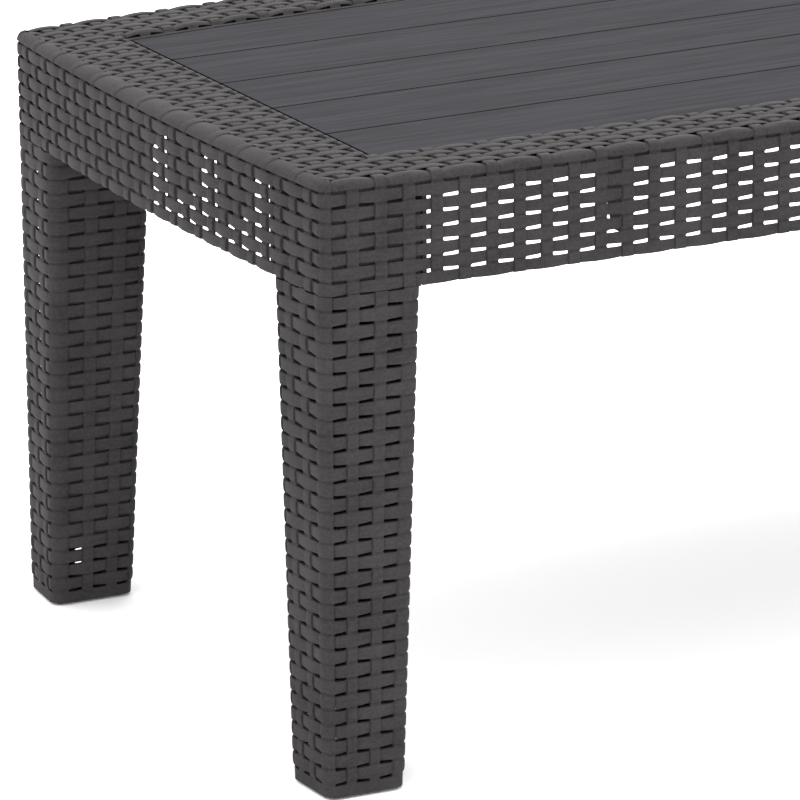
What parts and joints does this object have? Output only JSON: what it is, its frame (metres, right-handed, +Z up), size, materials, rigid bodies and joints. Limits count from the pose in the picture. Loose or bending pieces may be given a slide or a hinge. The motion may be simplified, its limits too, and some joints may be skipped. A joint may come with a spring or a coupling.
{
  "type": "garden coffee table",
  "caption": "Low rectangular garden coffee table in moulded resin with a woven look: bowed woven top frame, planked panel let into it, tapered woven legs.",
  "frame": {"origin": "on the floor under the middle of the table", "axes": "+X along the length of the table, +Y towards its back long side, +Z up"},
  "size_m": [0.924, 0.511, 0.42],
  "materials": {
    "woven_resin": "satin, fine grained moulded resin",
    "plank_resin": "satin with a fine wood grain",
    "glide_plastic": "matt black",
    "screw_steel": "zinc plated"
  },
  "bodies": {
    "root": {"top_frame": "woven_resin", "top_panel": "plank_resin", "leg_front_left": "woven_resin", "leg_front_right": "woven_resin", "leg_back_left": "woven_resin", "leg_back_right": "woven_resin", "foot_glide_front_left": "glide_plastic", "foot_glide_front_right": "glide_plastic", "foot_glide_back_left": "glide_plastic", "foot_glide_back_right": "glide_plastic", "leg_screws": "screw_steel", "panel_screws": "screw_steel"}
  },
  "joints": []
}
